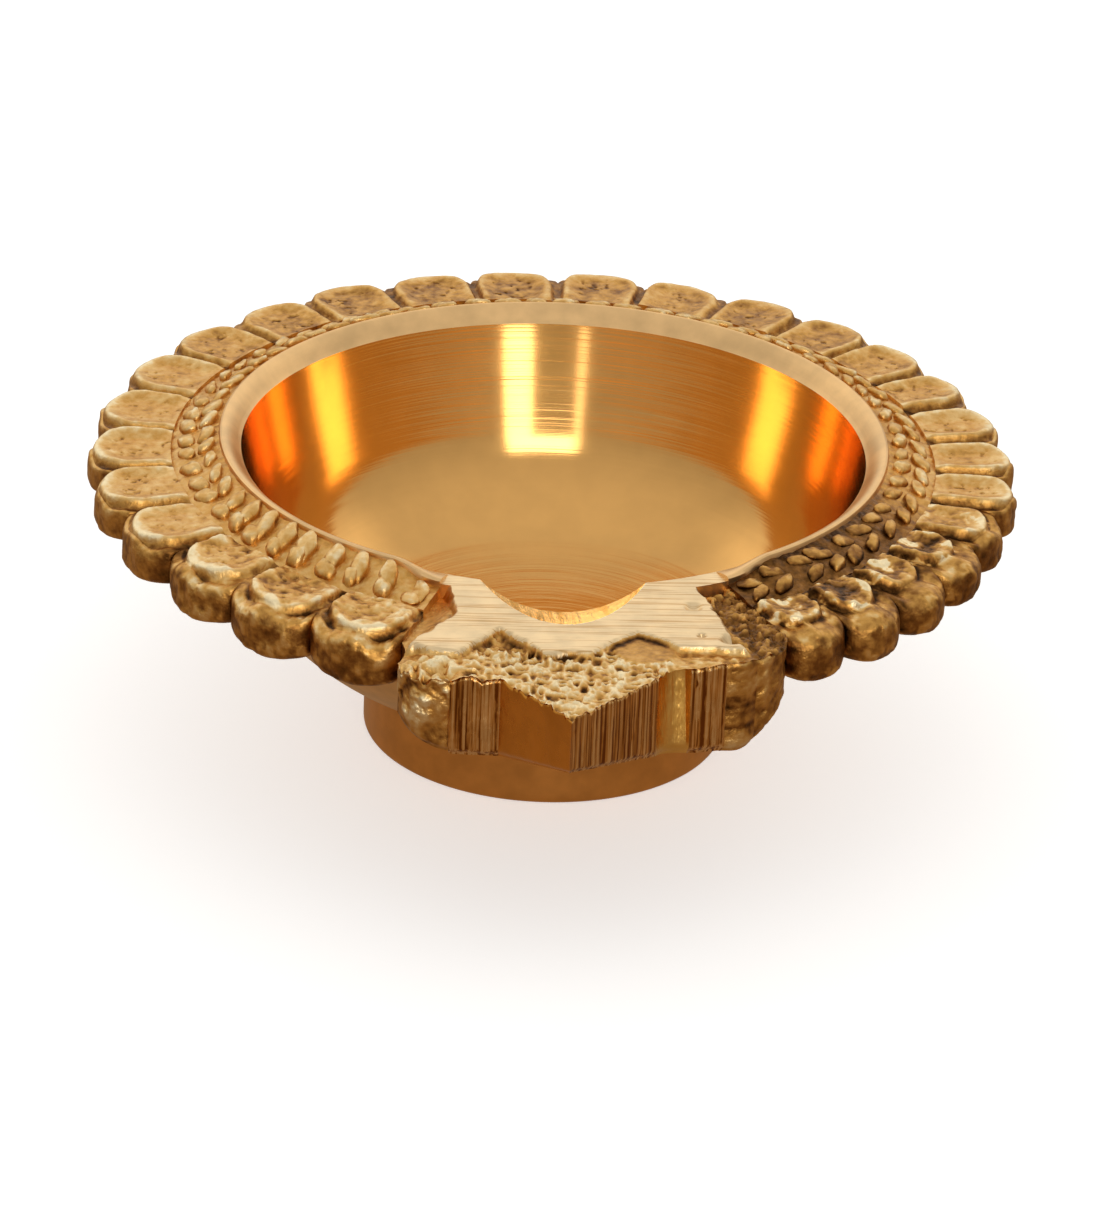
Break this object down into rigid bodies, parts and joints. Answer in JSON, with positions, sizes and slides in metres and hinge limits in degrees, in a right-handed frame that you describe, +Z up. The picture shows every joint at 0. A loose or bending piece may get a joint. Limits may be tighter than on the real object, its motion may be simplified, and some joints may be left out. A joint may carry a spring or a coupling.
{
  "type": "oil lamp",
  "caption": "Small cast brass oil lamp: turned shallow bowl on a plain foot, with a beaded petal rim and a pointed spout that carries the wick.",
  "frame": {"origin": "centre of the foot's flat underside, on the bowl's axis, at ground level", "axes": "+Z up along the bowl's axis, -Y along the spout, +X to the right of a viewer who faces the spout"},
  "size_m": [0.075, 0.084, 0.0257],
  "materials": {
    "turned_brass": "lathe turned and polished, with fine turning marks",
    "cast_brass": "sand cast and satin, filed flat at the spout"
  },
  "bodies": {
    "root": {"bowl": "turned_brass", "foot": "turned_brass", "mouth_lip": "turned_brass", "rim_flange": "cast_brass", "inner_bead_row": "cast_brass", "outer_bead_row": "cast_brass", "wick_spout": "cast_brass", "petal_01": "cast_brass", "petal_02": "cast_brass", "petal_03": "cast_brass", "petal_04": "cast_brass", "petal_05": "cast_brass", "petal_06": "cast_brass", "petal_07": "cast_brass", "petal_08": "cast_brass", "petal_09": "cast_brass", "petal_10": "cast_brass", "petal_11": "cast_brass", "petal_12": "cast_brass", "petal_13": "cast_brass", "petal_14": "cast_brass", "petal_15": "cast_brass", "petal_16": "cast_brass", "petal_17": "cast_brass", "petal_18": "cast_brass", "petal_19": "cast_brass", "petal_20": "cast_brass", "petal_21": "cast_brass", "petal_22": "cast_brass", "petal_23": "cast_brass", "petal_24": "cast_brass", "petal_25": "cast_brass", "petal_26": "cast_brass", "petal_27": "cast_brass"}
  },
  "joints": []
}
